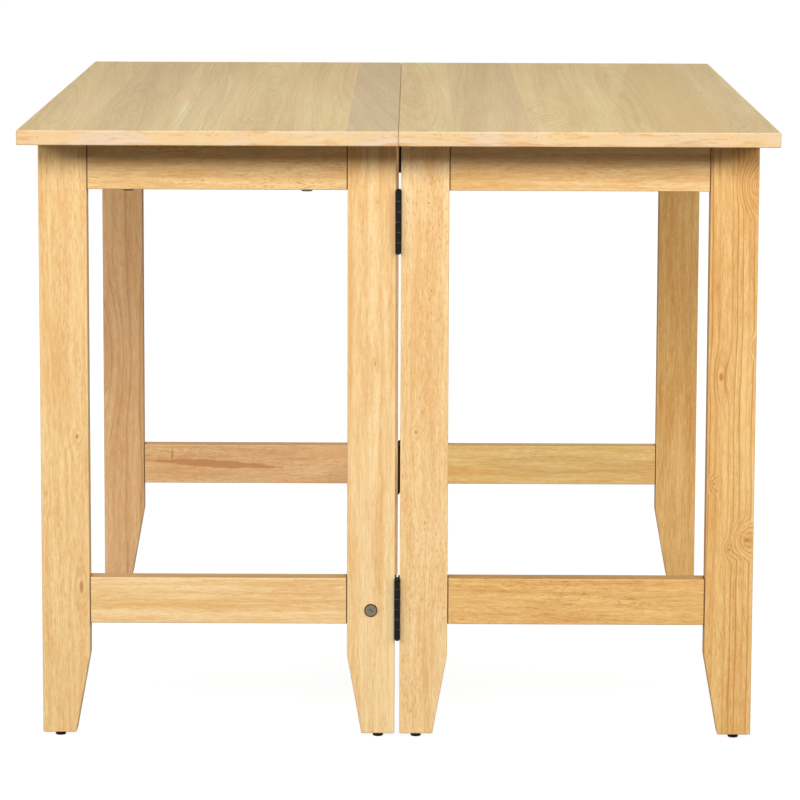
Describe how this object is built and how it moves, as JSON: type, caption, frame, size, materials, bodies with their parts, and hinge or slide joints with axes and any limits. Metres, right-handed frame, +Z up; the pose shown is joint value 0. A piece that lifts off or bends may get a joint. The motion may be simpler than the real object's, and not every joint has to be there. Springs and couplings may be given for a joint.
{
  "type": "extending dining table",
  "caption": "Wooden dining table: a fixed half on tapered end frames, and a fold-over leaf carried by hinged gates that swing flat against the frames.",
  "frame": {"origin": "on the floor, under the middle of the open table, in the plane of the seam between the two tops", "axes": "+X from the fixed half towards the leaf, +Y from the front to the rear along the seam, +Z up"},
  "size_m": [0.914, 1.219, 0.762],
  "materials": {
    "top_wood": "satin clear lacquer on edge-glued planks",
    "frame_wood": "satin clear lacquer, honey coloured",
    "black_steel": "black satin paint",
    "bronzed_steel": "bronzed",
    "zinc_steel": "zinc plated",
    "glide_plastic": "moulded"
  },
  "bodies": {
    "base": {"fixed_top": "top_wood", "front_outer_leg": "frame_wood", "front_inner_leg": "frame_wood", "rear_outer_leg": "frame_wood", "rear_inner_leg": "frame_wood", "front_apron": "frame_wood", "rear_apron": "frame_wood", "front_stretcher": "frame_wood", "rear_stretcher": "frame_wood", "long_stretcher": "frame_wood", "stretcher_dowels": "frame_wood", "stretcher_bolts": "bronzed_steel", "cross_nuts": "zinc_steel", "top_bolts": "bronzed_steel", "top_inserts": "zinc_steel", "base_glides": "glide_plastic", "front_hinge_fixed_leaves": "black_steel", "rear_hinge_fixed_leaves": "black_steel", "front_hinge_pins": "black_steel", "rear_hinge_pins": "black_steel", "fixed_hinge_screws": "black_steel", "fixed_cups": "zinc_steel", "fixed_link_pins": "zinc_steel", "fixed_cup_screws": "zinc_steel"},
    "front_gate": {"front_gate_inner_leg": "frame_wood", "front_gate_outer_leg": "frame_wood", "front_gate_apron": "frame_wood", "front_gate_stretcher": "frame_wood", "front_gate_glides": "glide_plastic", "front_gate_hinge_leaves": "black_steel", "front_gate_screws": "black_steel"},
    "rear_gate": {"rear_gate_inner_leg": "frame_wood", "rear_gate_outer_leg": "frame_wood", "rear_gate_apron": "frame_wood", "rear_gate_stretcher": "frame_wood", "rear_gate_glides": "glide_plastic", "rear_gate_hinge_leaves": "black_steel", "rear_gate_screws": "black_steel"},
    "leaf": {"leaf_top": "top_wood", "gate_stops": "frame_wood", "gate_stop_screws": "zinc_steel", "leaf_cups": "zinc_steel", "leaf_link_pins": "zinc_steel", "leaf_cup_screws": "zinc_steel"},
    "fixed_links": {"fixed_side_links": "zinc_steel"},
    "leaf_links": {"leaf_side_links": "zinc_steel"}
  },
  "joints": [
    {"name": "front_gate_swing", "type": "hinge", "parent": "base", "child": "front_gate", "pos_m": [0, -0.5285, 0.404], "axis": [0, 0, -1], "range_deg": [0, 180]},
    {"name": "rear_gate_swing", "type": "hinge", "parent": "base", "child": "rear_gate", "pos_m": [0, 0.5285, 0.404], "axis": [0, 0, 1], "range_deg": [0, 180]},
    {"name": "leaf_fold", "type": "hinge", "parent": "base", "child": "leaf", "pos_m": [0, 0, 0.7622], "axis": [0, -1, 0], "range_deg": [0, 180]},
    {"name": "fixed_links_turn", "type": "hinge", "parent": "base", "child": "fixed_links", "pos_m": [-0.006, 0, 0.7558], "axis": [0, -1, 0], "range_deg": [0, 90]},
    {"name": "leaf_links_turn", "type": "hinge", "parent": "leaf", "child": "leaf_links", "pos_m": [0.006, 0, 0.7558], "axis": [0, -1, 0], "range_deg": [-90, 0]}
  ],
  "couplings": [
    {"joint": "fixed_links_turn", "follows": "leaf_fold", "ratio": 0.5},
    {"joint": "leaf_links_turn", "follows": "leaf_fold", "ratio": -0.5}
  ]
}
